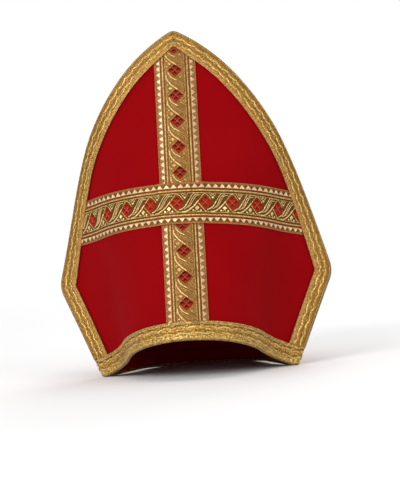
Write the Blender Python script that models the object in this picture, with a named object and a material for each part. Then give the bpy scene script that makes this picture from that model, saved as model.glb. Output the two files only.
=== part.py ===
# Bishop's mitre: two stiff felt faces sewn together at the sides, a folded cloth
# gusset between their points, gold edge and rim braid, and a ribbon cross on each face.
#
# Each piece is laid out in the flat cutting pattern of a face and then bent onto it:
#   across  distance from the centre line, measured along the cloth
#   height  distance up the centre line
#   lift    distance out of the cloth's outer surface
# The hat stands as it rests by itself: tipped back until its back rim meets the floor.

import math

import bmesh
import bpy
from mathutils import Matrix, Vector

MM = 0.001

# ---- driving sizes ----------------------------------------------------------

# Outline of a face in its flat pattern, up one side from the rim to the point.
RIM_HALF_WIDTH = 145.5 * MM
RIM_CORNER_HEIGHT = -14.5 * MM
RIM_RISE = 21.0 * MM
SEAM_FLARE = math.radians(20.4)
SEAM_LENGTH = 98.5 * MM
SHOULDER_TURN = math.radians(40.0)
SHOULDER_RADIUS = 28.0 * MM
EDGE_RADIUS = 550.0 * MM
EDGE_LENGTH = 225.0 * MM
CROWN_RADIUS = 250.0 * MM
POINT_RADIUS = 7.0 * MM

# Thicknesses and clearances.
FELT = 2.5 * MM
GUSSET_CLOTH = 1.4 * MM
RIBBON = 1.0 * MM
BRAID = 1.8 * MM
GAP = 0.45 * MM
BRAID_SEAT = 0.75 * MM
GUSSET_SEAT = 0.7 * MM
SEAM_GAP = 0.5 * MM

# Trim.
BRAID_WIDTH = 19.0 * MM
BRAID_END_GAP = 0.6 * MM
RIBBON_END_GAP = 0.8 * MM
RIBBON_WIDTH = 44.2 * MM
BAR_HEIGHT = 128.0 * MM
BAR_TILT = math.radians(-0.85)
BAR_DROOP = 1.4 * MM
BAR_RAMP = 6.0 * MM
FELT_TRIM = 0.8 * MM

# Depth of a face, from its centre line back to the side seam.
FACE_DEPTH = 109.0 * MM

# Level sections of a face. Bends are one over a radius in metres: front_bend holds
# from the centre line as far as front_reach, and side_bend from there to the seam.
SECTIONS = (
    {"height": 0.0 * MM, "front_bend": 13.0, "front_reach": 93.0 * MM, "side_bend": -17.0},
    {"height": 170.0 * MM, "front_bend": 7.55, "front_reach": 110.0 * MM, "side_bend": -5.5},
    {"height": 340.0 * MM, "front_bend": 4.4, "front_reach": 121.0 * MM, "side_bend": 2.2},
)

# The folded gusset: its valley, and where it ends above the side seams.
VALLEY_HEIGHT = 100.0 * MM
VALLEY_WIDTH = 0.30
VALLEY_END_DROP = 2.0 * MM
GUSSET_END = 0.06
GUSSET_INSET = 3.0 * MM

# How far the soft rim is pressed flat where the hat stands on it.
RIM_PRESS = 1.0 * MM

# Mesh steps.
FACE_COLUMNS = 28
SEAM_STEPS = 3
SHOULDER_STEPS = 2
EDGE_STEPS = 8
CROWN_STEPS = 4
POINT_STEPS = 2
TIP_STEPS = 6
BAR_STEPS = 24
BAR_RAISED_STEPS = 4
GUSSET_COLUMNS = 24
GUSSET_ROWS = 8

FINISHES = {
    "felt": {"colour": (0.48, 0.008, 0.012, 1.0), "roughness": 0.9, "metallic": 0.0},
    "braid": {"colour": (0.62, 0.40, 0.12, 1.0), "roughness": 0.4, "metallic": 0.8},
    "ribbon": {"colour": (0.55, 0.33, 0.12, 1.0), "roughness": 0.45, "metallic": 0.6},
}


# ---- plane curves made of lines and arcs ------------------------------------

def walk(start, heading, legs, distance):
    # Point and heading after a distance along legs of (length, bend).
    x, y = start
    for length, bend in legs:
        step = min(length, distance)
        turned = heading + bend * step
        if abs(bend) < 1e-6:
            x += math.cos(heading) * step
            y += math.sin(heading) * step
        else:
            x += (math.sin(turned) - math.sin(heading)) / bend
            y += (math.cos(heading) - math.cos(turned)) / bend
        heading = turned
        distance -= step
        if distance <= 0.0:
            break
    return x, y, heading


def solve(function, low, high):
    # Root of a rising function between two values, by halving.
    for _ in range(40):
        middle = 0.5 * (low + high)
        if function(middle) < 0.0:
            low = middle
        else:
            high = middle
    return 0.5 * (low + high)


# ---- the flat pattern ---------------------------------------------------------

RIM_CORNER = (RIM_HALF_WIDTH, RIM_CORNER_HEIGHT)
RIM_HEADING = 0.5 * math.pi - SEAM_FLARE


def outline_legs():
    seam = (SEAM_LENGTH, 0.0)
    shoulder = (SHOULDER_RADIUS * SHOULDER_TURN, 1.0 / SHOULDER_RADIUS)
    edge = (EDGE_LENGTH, 1.0 / EDGE_RADIUS)
    reach = seam[0] + shoulder[0] + edge[0]
    x, _, heading = walk(RIM_CORNER, RIM_HEADING, (seam, shoulder, edge), reach)
    # The crown arc ends where an arc of the point's radius finishes level on the centre line.
    rise = (CROWN_RADIUS * math.sin(heading) - x) / (CROWN_RADIUS - POINT_RADIUS)
    crown_end = math.pi - math.asin(rise)
    crown = (CROWN_RADIUS * (crown_end - heading), 1.0 / CROWN_RADIUS)
    point = (POINT_RADIUS * (math.pi - crown_end), 1.0 / POINT_RADIUS)
    return seam, shoulder, edge, crown, point


OUTLINE = outline_legs()
TIP = FELT + 0.5 * SEAM_GAP + GAP + BRAID
OUTLINE_LENGTH = sum(length for length, _ in OUTLINE)
SHOULDER_HEIGHT = RIM_CORNER_HEIGHT + SEAM_LENGTH * math.cos(SEAM_FLARE)


def outline(distance, inset=0.0):
    # Pattern point at a distance up the right-hand edge, moved in from the edge.
    x, y, heading = walk(RIM_CORNER, RIM_HEADING, OUTLINE, distance)
    return x - inset * math.sin(heading), y + inset * math.cos(heading)


def outline_steps(start):
    # Distances up the outline from a start on the seam to the point.
    steps = [start]
    counts = (SEAM_STEPS, SHOULDER_STEPS, EDGE_STEPS, CROWN_STEPS, POINT_STEPS)
    leg_end = 0.0
    for (length, _), count in zip(OUTLINE, counts):
        leg_start = max(leg_end, start)
        leg_end += length
        for index in range(1, count + 1):
            steps.append(leg_start + (leg_end - leg_start) * index / count)
    return steps


def width_at(height, inset):
    # Half width of the pattern at a height, inside a border of the given inset.
    distance = solve(lambda d: outline(d, inset)[1] - height, 0.0, OUTLINE_LENGTH)
    return outline(distance, inset)[0]


def height_at(across, inset):
    # Height of the pattern's upper border at a distance from the centre line.
    low = OUTLINE[0][0] + OUTLINE[1][0]
    distance = solve(lambda d: across - outline(d, inset)[0], low, OUTLINE_LENGTH)
    return outline(distance, inset)[1]


def rim_height(part_of_width):
    return RIM_CORNER_HEIGHT + RIM_RISE * (1.0 - part_of_width ** 2)


def band_width(band):
    # Half width of the rim braid's front, at a height in the band.
    return RIM_HALF_WIDTH + band * math.tan(SEAM_FLARE) - TIP


def braid_start(inset):
    # Distance up the side at which the edge braid clears the top of the rim braid.
    def clearance(distance):
        across, height = outline(distance, inset)
        part = min(across / band_width(BRAID_WIDTH), 1.0)
        return height - rim_height(part) - BRAID_WIDTH - BRAID_END_GAP

    return solve(clearance, 0.0, SEAM_LENGTH)


def braid_end(inset):
    # Distance up the side at which a border of the given inset comes to the centre line.
    return solve(lambda d: -outline(d, inset)[0], SEAM_LENGTH, OUTLINE_LENGTH)


# ---- the bent face --------------------------------------------------------------

HALF_DEPTH = FACE_DEPTH + FELT + 0.5 * SEAM_GAP
NUDGE = 0.05 * MM


def section_value(name, height):
    # Quadratic through the three rows of the section table.
    total = 0.0
    for row in SECTIONS:
        weight = 1.0
        for other in SECTIONS:
            if other is not row:
                weight *= (height - other["height"]) / (row["height"] - other["height"])
        total += weight * row[name]
    return total


def section_point(across, height):
    front = (section_value("front_reach", height), section_value("front_bend", height))
    side = (RIM_HALF_WIDTH, section_value("side_bend", height))
    x, depth, _ = walk((0.0, 0.0), 0.0, (front, side), abs(across))
    return math.copysign(x, across), depth


def depth_scale(height):
    # Brings the side seam to the same depth at every height, and fades out above it.
    low = min(max(height, RIM_CORNER_HEIGHT), SHOULDER_HEIGHT)
    seam_width = RIM_HALF_WIDTH + (low - RIM_CORNER_HEIGHT) * math.tan(SEAM_FLARE)
    scale = FACE_DEPTH / section_point(seam_width, low)[1]
    fade = min(max((height - low) / (SECTIONS[-1]["height"] - low), 0.0), 1.0)
    return scale + (1.0 - scale) * fade


def face_surface(across, height):
    x, depth = section_point(across, height)
    return Vector((x, depth * depth_scale(height) - HALF_DEPTH, height))


def lifted(surface, first, second, nudge, lift):
    # Point of a surface moved out along its normal.
    along = surface(first + nudge, second) - surface(first - nudge, second)
    up = surface(first, second + nudge) - surface(first, second - nudge)
    return surface(first, second) + along.cross(up).normalized() * lift


def on_face(across, height, lift):
    return lifted(face_surface, across, height, NUDGE, lift)


# ---- the resting place ------------------------------------------------------------

LEAN = math.atan2(RIM_RISE, FACE_DEPTH)


def rest_matrix():
    lean = Matrix.Rotation(-LEAN, 4, "X")
    lowest = lean @ Vector((0.0, HALF_DEPTH + GAP + BRAID, rim_height(0.0)))
    return Matrix.Translation((0.0, 0.0, -RIM_PRESS - lowest.z)) @ lean


REST = rest_matrix()
TO_BACK = Matrix.Rotation(math.pi, 4, "Z")


def at_rest(point):
    placed = REST @ point
    placed.z = max(placed.z, 0.0)
    return placed


# ---- building sheets ---------------------------------------------------------------

def make_material(name, finish):
    look = FINISHES[finish]
    material = bpy.data.materials.new(name)
    material.use_nodes = True
    shader = material.node_tree.nodes["Principled BSDF"]
    shader.inputs["Base Color"].default_value = look["colour"]
    shader.inputs["Roughness"].default_value = look["roughness"]
    shader.inputs["Metallic"].default_value = look["metallic"]
    material.diffuse_color = look["colour"]
    return material


def finish_sheet(name, finish, bm, place, lifts, turn):
    # Thickens an open sheet of pattern vertices and bends both of its skins.
    inner = list(bm.verts)
    thick = bmesh.ops.extrude_face_region(bm, geom=bm.faces[:], use_keep_orig=True)
    outer = [item for item in thick["geom"] if isinstance(item, bmesh.types.BMVert)]
    for verts, lift in ((inner, lifts[0]), (outer, lifts[1])):
        for vert in verts:
            vert.co = at_rest(turn @ place(vert.co, lift))
    bmesh.ops.remove_doubles(bm, verts=bm.verts[:], dist=0.01 * MM)
    bmesh.ops.recalc_face_normals(bm, faces=bm.faces[:])
    mesh = bpy.data.meshes.new(name)
    bm.to_mesh(mesh)
    bm.free()
    mesh.materials.append(make_material(name, finish))
    sheet = bpy.data.objects.new(name, mesh)
    collection = bpy.data.collections.new(name)
    bpy.context.scene.collection.children.link(collection)
    collection.objects.link(sheet)
    return sheet


def grid_sheet(columns, rows):
    # A grid whose vertices count columns from -1 to 1 in x, and rows from 0 up in y.
    bm = bmesh.new()
    bmesh.ops.create_grid(bm, x_segments=columns, y_segments=rows, size=1.0)
    for vert in bm.verts:
        vert.co.y = round(0.5 * (vert.co.y + 1.0) * rows)
    return bm


# ---- the pieces ----------------------------------------------------------------------

FELT_HEM = 1.0 * MM
FELT_NOTCH = 1.5 * MM


def make_panel(name, turn):
    # Under the rim braid the felt is trimmed back, so that the braid can wrap the seam.
    top = braid_start(0.0)
    rows = [(FELT_HEM, TIP), (0.5 * top, TIP), (top, TIP)]
    rows += [(distance, FELT_TRIM) for distance in outline_steps(top + FELT_NOTCH)]

    def place(co, lift):
        width, height = outline(*rows[round(co.y)])
        fade = (SHOULDER_HEIGHT - height) / (SHOULDER_HEIGHT - RIM_CORNER_HEIGHT)
        height += RIM_RISE * (1.0 - co.x ** 2) * max(fade, 0.0)
        return on_face(co.x * width, height, lift)

    bm = grid_sheet(FACE_COLUMNS, len(rows) - 1)
    return finish_sheet(name, "felt", bm, place, (-FELT, 0.0), turn)


def make_edge_braid(name, turn):
    # One strip up the right side, over the point and down the left side.
    # Its two arms meet at the point in a mitre on the centre line.
    steps = outline_steps(braid_start(0.0))
    last = len(steps) - 1
    crown_start = OUTLINE_LENGTH - OUTLINE[3][0] - OUTLINE[4][0]

    def place(co, lift):
        inset = BRAID_WIDTH * 0.5 * co.y
        column = round(co.x * last)
        distance = steps[last - abs(column)]
        above = max(SEAM_LENGTH - distance, 0.0) / (SEAM_LENGTH - steps[0])
        crown = max(distance - crown_start, 0.0) / (OUTLINE_LENGTH - crown_start)
        distance += above * (braid_start(inset) - steps[0])
        distance += crown * (braid_end(inset) - OUTLINE_LENGTH)
        width, height = outline(distance, inset)
        return on_face(math.copysign(width, column), height, lift)

    bm = grid_sheet(2 * last, 2)
    return finish_sheet(name, "braid", bm, place, (BRAID_SEAT, BRAID_SEAT + BRAID), turn)


def rim_tip(height_in_band, part_of_turn, lift):
    # The rim braid's way round the left side seam, from the front face to the back face.
    width = band_width(height_in_band)
    height = RIM_CORNER_HEIGHT + height_in_band
    start = on_face(-width, height, 0.0)
    normal = on_face(-width, height, 1.0) - start
    radius = start.y / normal.y
    centre = start - normal * radius
    across = math.atan2(normal.y, normal.x)
    turned = across - 2.0 * (math.pi + across) * part_of_turn
    spoke = Vector((math.cos(turned), math.sin(turned), 0.0))
    return centre + spoke * (radius + lift)


def make_rim_braid(name):
    steps = FACE_COLUMNS + TIP_STEPS

    def place(co, lift):
        station = round(math.atan2(co.y, co.x) / math.pi * steps) % (2 * steps)
        half, step = divmod(station, steps)
        band = BRAID_WIDTH * (0.5 + 0.5 * co.z)
        if step <= FACE_COLUMNS:
            part = 1.0 - 2.0 * step / FACE_COLUMNS
            point = on_face(part * band_width(band), rim_height(part) + band, lift)
        else:
            point = rim_tip(band, (step - FACE_COLUMNS) / TIP_STEPS, lift)
        return TO_BACK @ point if half else point

    bm = bmesh.new()
    bmesh.ops.create_cone(bm, cap_ends=False, segments=2 * steps, radius1=1.0, radius2=1.0, depth=2.0)
    return finish_sheet(name, "braid", bm, place, (GAP, GAP + BRAID), Matrix.Identity(4))


def make_upright(name, turn):
    rows = 16

    def place(co, lift):
        across = 0.5 * RIBBON_WIDTH * co.x
        low = rim_height(across / RIM_HALF_WIDTH) + BRAID_WIDTH + GAP
        high = height_at(abs(across), BRAID_WIDTH + RIBBON_END_GAP)
        return on_face(across, low + (high - low) * co.y / rows, lift)

    bm = grid_sheet(4, rows)
    return finish_sheet(name, "ribbon", bm, place, (GAP, GAP + RIBBON), turn)


def bar_shift(across):
    return across * math.tan(BAR_TILT) - BAR_DROOP * (across / RIM_HALF_WIDTH) ** 2


def make_bar(name, turn):
    # The bar climbs over the upright where they cross.
    rows = 2
    raised = 0.5 * RIBBON_WIDTH + 1.0 * MM

    def place(co, lift):
        height = BAR_HEIGHT + RIBBON_WIDTH * co.y / rows
        side = math.copysign(RIM_HALF_WIDTH, co.x)
        end = width_at(height + bar_shift(side), BRAID_WIDTH + RIBBON_END_GAP)
        step = round(abs(co.x) * BAR_STEPS)
        if step <= BAR_RAISED_STEPS:
            across = raised * step / BAR_RAISED_STEPS
            lift += RIBBON + GAP
        else:
            flat_steps = BAR_STEPS - BAR_RAISED_STEPS - 1
            start = raised + BAR_RAMP
            across = start + (end - start) * (step - BAR_RAISED_STEPS - 1) / flat_steps
        across = math.copysign(across, co.x)
        return on_face(across, height + bar_shift(across), lift)

    bm = grid_sheet(2 * BAR_STEPS, rows)
    return finish_sheet(name, "ribbon", bm, place, (GAP, GAP + RIBBON), turn)


def gusset_surface(along, fold):
    # along runs over the point from one shoulder to the other, fold from the front
    # face through the valley to the back face, each from -1 to 1.
    low = OUTLINE[0][0] + OUTLINE[1][0] + GUSSET_END * OUTLINE[2][0]
    width, height = outline(OUTLINE_LENGTH + (low - OUTLINE_LENGTH) * abs(along), GUSSET_INSET)
    top = on_face(math.copysign(width, along), height, -FELT - GUSSET_SEAT)
    end_width, end_height = outline(low, GUSSET_INSET)
    end = on_face(end_width, end_height, -FELT - GUSSET_SEAT)
    share = abs(top.x) / end.x
    valley_rise = end.z - VALLEY_END_DROP - VALLEY_HEIGHT
    valley = Vector((top.x, 0.0, VALLEY_HEIGHT + valley_rise * share ** 6))
    drop = top.z - valley.z
    upper = top + Vector((0.0, -0.35 * top.y, -0.35 * drop))
    lower = valley + Vector((0.0, VALLEY_WIDTH * top.y, 0.05 * drop))
    part = 1.0 - abs(fold)
    rest = 1.0 - part
    point = top * rest ** 3 + upper * 3.0 * rest ** 2 * part
    point += lower * 3.0 * rest * part ** 2 + valley * part ** 3
    if fold > 0.0:
        point.y = -point.y
    return point


def make_gusset(name):
    nudge = 0.001

    def place(co, lift):
        fold = 2.0 * co.y / GUSSET_ROWS - 1.0
        along = min(max(co.x, nudge - 1.0), 1.0 - nudge)
        return lifted(gusset_surface, along, min(max(fold, nudge - 1.0), 1.0 - nudge), nudge, lift)

    bm = grid_sheet(GUSSET_COLUMNS, GUSSET_ROWS)
    return finish_sheet(name, "felt", bm, place, (0.0, GUSSET_CLOTH), Matrix.Identity(4))


def centre_on_floor(objects):
    ends = [vert.co.y for item in objects for vert in item.data.vertices]
    middle = 0.5 * (min(ends) + max(ends))
    for item in objects:
        item.data.transform(Matrix.Translation((0.0, -middle, 0.0)))
        item.data.update()


def main():
    for item in list(bpy.data.objects):
        bpy.data.objects.remove(item, do_unlink=True)
    pieces = [make_gusset("crown_gusset"), make_rim_braid("rim_braid")]
    for side, turn in (("front", Matrix.Identity(4)), ("back", TO_BACK)):
        pieces.append(make_panel(side + "_panel", turn))
        pieces.append(make_edge_braid(side + "_edge_braid", turn))
        pieces.append(make_upright(side + "_cross_upright", turn))
        pieces.append(make_bar(side + "_cross_bar", turn))
    centre_on_floor(pieces)


main()
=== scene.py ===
# A bishop's mitre of red felt, edged with gold braid and crossed with woven galloon.
# Trim is laid out flat on the cutting pattern of a face and then bent onto it:
# x is the distance across from the centre line, y the height, z the lift off the felt.

import math

import bmesh
import bpy
import numpy as np
from mathutils import Matrix, Vector


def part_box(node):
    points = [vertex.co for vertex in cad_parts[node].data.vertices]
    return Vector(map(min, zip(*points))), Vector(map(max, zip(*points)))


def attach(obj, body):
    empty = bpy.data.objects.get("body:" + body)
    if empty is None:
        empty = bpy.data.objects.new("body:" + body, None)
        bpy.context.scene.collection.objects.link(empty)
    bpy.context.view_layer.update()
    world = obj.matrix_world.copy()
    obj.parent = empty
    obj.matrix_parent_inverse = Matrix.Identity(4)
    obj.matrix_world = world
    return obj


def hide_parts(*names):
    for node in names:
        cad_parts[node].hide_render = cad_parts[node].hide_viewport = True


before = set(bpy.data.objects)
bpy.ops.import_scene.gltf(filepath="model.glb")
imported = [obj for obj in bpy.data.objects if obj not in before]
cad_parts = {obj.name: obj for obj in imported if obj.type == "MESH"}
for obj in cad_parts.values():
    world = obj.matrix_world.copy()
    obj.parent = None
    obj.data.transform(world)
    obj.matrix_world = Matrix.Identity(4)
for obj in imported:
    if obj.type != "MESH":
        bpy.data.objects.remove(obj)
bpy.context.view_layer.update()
mm = 0.001

# the cut and bend of a face, as in the frame, but with its long edge and its point radius 2 mm larger
face = {
    "rimHalfWidth": 145.5 * mm,
    "rimCornerHeight": -14.5 * mm,
    "rimRise": 21.0 * mm,
    "seamFlare": math.radians(20.4),
    "seamLength": 98.5 * mm,
    "shoulderTurn": math.radians(40.0),
    "shoulderRadius": 28.0 * mm,
    "edgeRadius": 550.0 * mm,
    "edgeLength": 227.0 * mm,
    "crownRadius": 250.0 * mm,
    "pointRadius": 9.0 * mm,
    "depth": 109.0 * mm,
    "felt": 2.5 * mm,
    "seamGap": 0.5 * mm,
    "stripGap": 0.45 * mm,
    "stripThickness": 1.8 * mm,
    "braidWidth": 19.0 * mm,
    "ribbonWidth": 44.2 * mm,
    "rimPress": 1.0 * mm,
    "nudge": 0.05 * mm,
}
halvings = 40             # turns of solve
flatBend = 1e-6           # a bend below this is taken as straight

# bends are one over a radius in metres, out to the reach and then on to the seam
sections = {
    "height": (0.0, 0.170, 0.340),
    "frontBend": (13.0, 7.55, 4.4),
    "frontReach": (0.093, 0.110, 0.121),
    "sideBend": (-17.0, -5.5, 2.2),
}


def walkLegs(x, y, heading, legs, distance):
    # point and heading after a distance along legs of (length, bend)
    left = np.asarray(distance, float)
    for length, bend in legs:
        step = np.clip(left, 0.0, length)
        bend = np.where(np.abs(bend) < flatBend, flatBend, bend)
        turned = heading + bend * step
        x = x + (np.sin(turned) - np.sin(heading)) / bend
        y = y + (np.cos(heading) - np.cos(turned)) / bend
        heading = turned
        left = left - step
    return x, y, heading


def outlineLegs():
    # side seam, shoulder, long edge, crown and point, up the right-hand side
    start = (face["rimHalfWidth"], face["rimCornerHeight"], 0.5 * math.pi - face["seamFlare"])
    seam = (face["seamLength"], 0.0)
    shoulder = (face["shoulderRadius"] * face["shoulderTurn"], 1.0 / face["shoulderRadius"])
    edge = (face["edgeLength"], 1.0 / face["edgeRadius"])
    x, _, heading = walkLegs(*start, (seam, shoulder, edge), 1.0)
    radius, tip = face["crownRadius"], face["pointRadius"]
    crownEnd = math.pi - math.asin((radius * math.sin(heading) - x) / (radius - tip))
    crown = (radius * (crownEnd - float(heading)), 1.0 / radius)
    point = (tip * (math.pi - crownEnd), 1.0 / tip)
    return seam, shoulder, edge, crown, point


legs = outlineLegs()
legEnds = np.cumsum([length for length, bend in legs])
seamEnd, shoulderEnd = legEnds[:2]
outlineLength = float(legEnds[-1])
shoulderHeight = face["rimCornerHeight"] + face["seamLength"] * math.cos(face["seamFlare"])
halfDepth = face["depth"] + face["felt"] + 0.5 * face["seamGap"]
seamTip = face["felt"] + 0.5 * face["seamGap"] + face["stripGap"] + face["stripThickness"]


def outline(distance, inset):
    # pattern point at a distance up the right-hand edge, moved in from the edge
    heading = 0.5 * math.pi - face["seamFlare"]
    x, y, heading = walkLegs(face["rimHalfWidth"], face["rimCornerHeight"], heading, legs, distance)
    return x - inset * np.sin(heading), y + inset * np.cos(heading)


def solve(function, low, high):
    # roots of rising functions between two values, by halving
    for _ in range(halvings):
        middle = 0.5 * (low + high)
        under = function(middle) < 0.0
        low = np.where(under, middle, low)
        high = np.where(under, high, middle)
    return 0.5 * (low + high)


def widthAt(height, inset):
    height = np.asarray(height, float)
    low = np.zeros(height.shape)
    return outline(solve(lambda d: outline(d, inset)[1] - height, low, low + outlineLength), inset)[0]


def heightAt(across, inset):
    across = np.asarray(across, float)
    low = np.zeros(across.shape) + shoulderEnd
    distance = solve(lambda d: across - outline(d, inset)[0], low, low * 0.0 + outlineLength)
    return outline(distance, inset)[1]


def rimHeight(part):
    return face["rimCornerHeight"] + face["rimRise"] * (1.0 - part ** 2)


def bandWidth(band):
    return face["rimHalfWidth"] + band * math.tan(face["seamFlare"]) - seamTip


def sectionValue(name, height):
    # quadratic through the three rows
    total = 0.0
    for row in range(3):
        weight = 1.0
        for other in range(3):
            if other != row:
                gap = sections["height"][row] - sections["height"][other]
                weight = weight * (height - sections["height"][other]) / gap
        total = total + weight * sections[name][row]
    return total


def sectionPoint(across, height):
    front = (sectionValue("frontReach", height), sectionValue("frontBend", height))
    side = (face["rimHalfWidth"], sectionValue("sideBend", height))
    x, depth = walkLegs(0.0, 0.0, 0.0, (front, side), np.abs(across))[:2]
    return np.copysign(x, across), depth


def depthScale(height):
    # keeps the side seam at one depth, and fades out above it
    low = np.clip(height, face["rimCornerHeight"], shoulderHeight)
    seamWidth = face["rimHalfWidth"] + (low - face["rimCornerHeight"]) * math.tan(face["seamFlare"])
    scale = face["depth"] / sectionPoint(seamWidth, low)[1]
    fade = np.clip((height - low) / (sections["height"][2] - low), 0.0, 1.0)
    return scale + (1.0 - scale) * fade


def faceSurface(across, height):
    x, depth = sectionPoint(across, height)
    return np.stack([x, depth * depthScale(height) - halfDepth, height + 0.0 * x], -1)


def lifted(surface, first, second, nudge, lift):
    # surface points moved out along the normal
    along = surface(first + nudge, second) - surface(first - nudge, second)
    up = surface(first, second + nudge) - surface(first, second - nudge)
    normal = np.cross(along, up)
    normal /= np.linalg.norm(normal, axis=-1)[..., None]
    return surface(first, second) + normal * np.asarray(lift)[..., None]


def onFace(across, height, lift):
    across, height, lift = np.broadcast_arrays(across, height, lift)
    return lifted(faceSurface, across.astype(float), height.astype(float), face["nudge"], lift)


# the hat stands leaning back on its rim
lean = math.atan2(face["rimRise"], face["depth"])
backEdge = halfDepth + face["stripGap"] + face["stripThickness"]
rimDrop = math.cos(lean) * float(rimHeight(0.0)) - math.sin(lean) * backEdge
rimReach = math.cos(lean) * backEdge + math.sin(lean) * (float(rimHeight(0.0)) + face["braidWidth"])
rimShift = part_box("rim_braid")[1].y - rimReach


def stand(points, back=False):
    # turns to the back face, leans the hat and sets it on the floor
    points = points * np.array((-1.0, -1.0, 1.0)) if back else points
    x, y, z = points[:, 0], points[:, 1], points[:, 2]
    placed = np.empty(points.shape)
    placed[:, 0] = x
    placed[:, 1] = math.cos(lean) * y + math.sin(lean) * z + rimShift
    placed[:, 2] = math.cos(lean) * z - math.sin(lean) * y - rimDrop - face["rimPress"]
    placed[:, 2] = np.maximum(placed[:, 2], 0.0)
    return placed


def toFace(points, back):
    return stand(onFace(points[:, 0], points[:, 1], points[:, 2]), back)


def newSheet(columns, rows):
    # a flat grid with x and y from 0 to 1, and its UV map
    bm = bmesh.new()
    bm.loops.layers.uv.new("strip")
    addGrid(bm, columns, rows)
    return bm


def addGrid(bm, columns, rows):
    made = bmesh.ops.create_grid(bm, x_segments=columns, y_segments=rows, size=0.5, calc_uvs=True)
    for vert in made["verts"]:
        vert.co.x += 0.5
        vert.co.y += 0.5
    return made["verts"]


def moveVerts(verts, points):
    for vert, point in zip(verts, points):
        vert.co = point


def vertArray(verts):
    return np.array([vert.co[:] for vert in verts])


def finishMesh(bm, name, materials, place=None, smooth=True):
    # writes a bmesh to an object of its own, bending it with place on the way
    mesh = bpy.data.meshes.new(name)
    bm.to_mesh(mesh)
    bm.free()
    if place is not None:
        co = np.empty(len(mesh.vertices) * 3)
        mesh.vertices.foreach_get("co", co)
        mesh.vertices.foreach_set("co", place(co.reshape(-1, 3)).ravel())
    for material in materials:
        mesh.materials.append(material)
    mesh.polygons.foreach_set("use_smooth", [smooth] * len(mesh.polygons))
    mesh.update()
    piece = bpy.data.objects.new(name, mesh)
    bpy.context.scene.collection.objects.link(piece)
    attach(piece, "root")
    print(name, len(mesh.polygons), "faces")
    return piece


def scaleUvs(bm, faces, wide, high):
    uv = bm.loops.layers.uv.active
    for item in faces:
        for loop in item.loops:
            loop[uv].uv.x *= wide
            loop[uv].uv.y *= high


def copyAlong(bm, length, step, fewest=4.0):
    # fills a length with copies of what is in bm, close to a step apart, by doubling the first few
    doublings = int(math.log2(length / step / fewest))
    first = round(length / step / 2 ** doublings)
    step = length / (first * 2 ** doublings)
    unit = bm.verts[:] + bm.edges[:] + bm.faces[:]
    moves = [(unit, index * step) for index in range(1, first)]
    moves += [(None, first * 2 ** turn * step) for turn in range(doublings)]
    for geom, shift in moves:
        copy = bmesh.ops.duplicate(bm, geom=geom or bm.verts[:] + bm.edges[:] + bm.faces[:])
        verts = [item for item in copy["geom"] if isinstance(item, bmesh.types.BMVert)]
        bmesh.ops.translate(bm, verts=verts, vec=(shift, 0.0, 0.0))


def smoothRoute(route, steps, split=12):
    # evenly spaced points on a smooth curve through the route's points, each stretch split first
    route = np.asarray(route, float)
    ends = np.vstack([2 * route[0] - route[1], route, 2 * route[-1] - route[-2]])
    parts = []
    for index in range(1, len(ends) - 2):
        a, b, c, d = ends[index - 1:index + 3]
        part = np.linspace(0.0, 1.0, split, endpoint=False)[:, None]
        curve = 2 * b + (c - a) * part + (2 * a - 5 * b + 4 * c - d) * part ** 2
        parts.append(0.5 * (curve + (3 * b - a - 3 * c + d) * part ** 3))
    line = np.vstack(parts + [route[-1:]])
    run = np.concatenate([[0.0], np.cumsum(np.linalg.norm(np.diff(line, axis=0), axis=1))])
    even = np.linspace(0.0, run[-1], steps + 1)
    return np.stack([np.interp(even, run, line[:, axis]) for axis in range(3)], -1)


cordShape = {
    "under": -0.25,           # how far its edges go below the line, as a share of the rise
    "weld": 0.0005 * mm,
}


def layCord(bm, line, width, rise, sides=6, taper=1, material=0):
    # a half-round cord along a line of points, with its ends drawn to a point
    steps = len(line) - 1
    verts = addGrid(bm, steps, sides)
    co = vertArray(verts)
    at = np.rint(co[:, 0] * steps).astype(int)
    turn = math.pi * (0.5 - 2.0 * co[:, 1])
    ahead = np.gradient(line, axis=0)
    side = np.stack([-ahead[:, 1], ahead[:, 0]], -1)
    side /= np.linalg.norm(side, axis=1)[:, None]
    thin = np.clip(np.minimum(at, steps - at) / taper, 0.0, 1.0) ** 0.5
    points = line[at]
    points[:, :2] += side[at] * (0.5 * width * thin * np.cos(turn))[:, None]
    points[:, 2] += rise * thin * np.maximum(np.sin(turn), cordShape["under"])
    moveVerts(verts, points)
    faces = list({item for vert in verts for item in vert.link_faces})
    for item in faces:
        item.material_index = material
    length = float(np.linalg.norm(np.diff(line, axis=0), axis=1).sum())
    scaleUvs(bm, faces, length, 1.0)
    bmesh.ops.remove_doubles(bm, verts=verts, dist=cordShape["weld"])


cutGap = 1e-7             # metres within which a point counts as lying on the cut


def cutAt(bm, point, normal):
    # trims away what lies beyond a plane and closes the cut
    geom = bm.verts[:] + bm.edges[:] + bm.faces[:]
    cut = bmesh.ops.bisect_plane(bm, geom=geom, dist=cutGap, plane_co=point, plane_no=normal,
                                 clear_outer=True)
    edges = [item for item in cut["geom_cut"] if isinstance(item, bmesh.types.BMEdge)]
    bmesh.ops.holes_fill(bm, edges=edges, sides=0)


def newMaterial(name):
    material = bpy.data.materials.new(name)
    material.use_nodes = True
    nodes = material.node_tree.nodes
    return material, nodes, material.node_tree.links, nodes["Principled BSDF"]


def coordNodes(nodes, links):
    # Object coordinates, and both parts of the piece's own UV map: its run, and its width or turn
    coords = nodes.new("ShaderNodeTexCoord")
    split = nodes.new("ShaderNodeSeparateXYZ")
    links.new(coords.outputs["UV"], split.inputs["Vector"])
    return coords.outputs["Object"], split.outputs["X"], split.outputs["Y"]


def noiseNode(nodes, links, vector, scale, detail=3.0):
    noise = nodes.new("ShaderNodeTexNoise")
    noise.inputs["Scale"].default_value = scale
    noise.inputs["Detail"].default_value = detail
    links.new(vector, noise.inputs["Vector"])
    return noise.outputs["Fac"]


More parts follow.
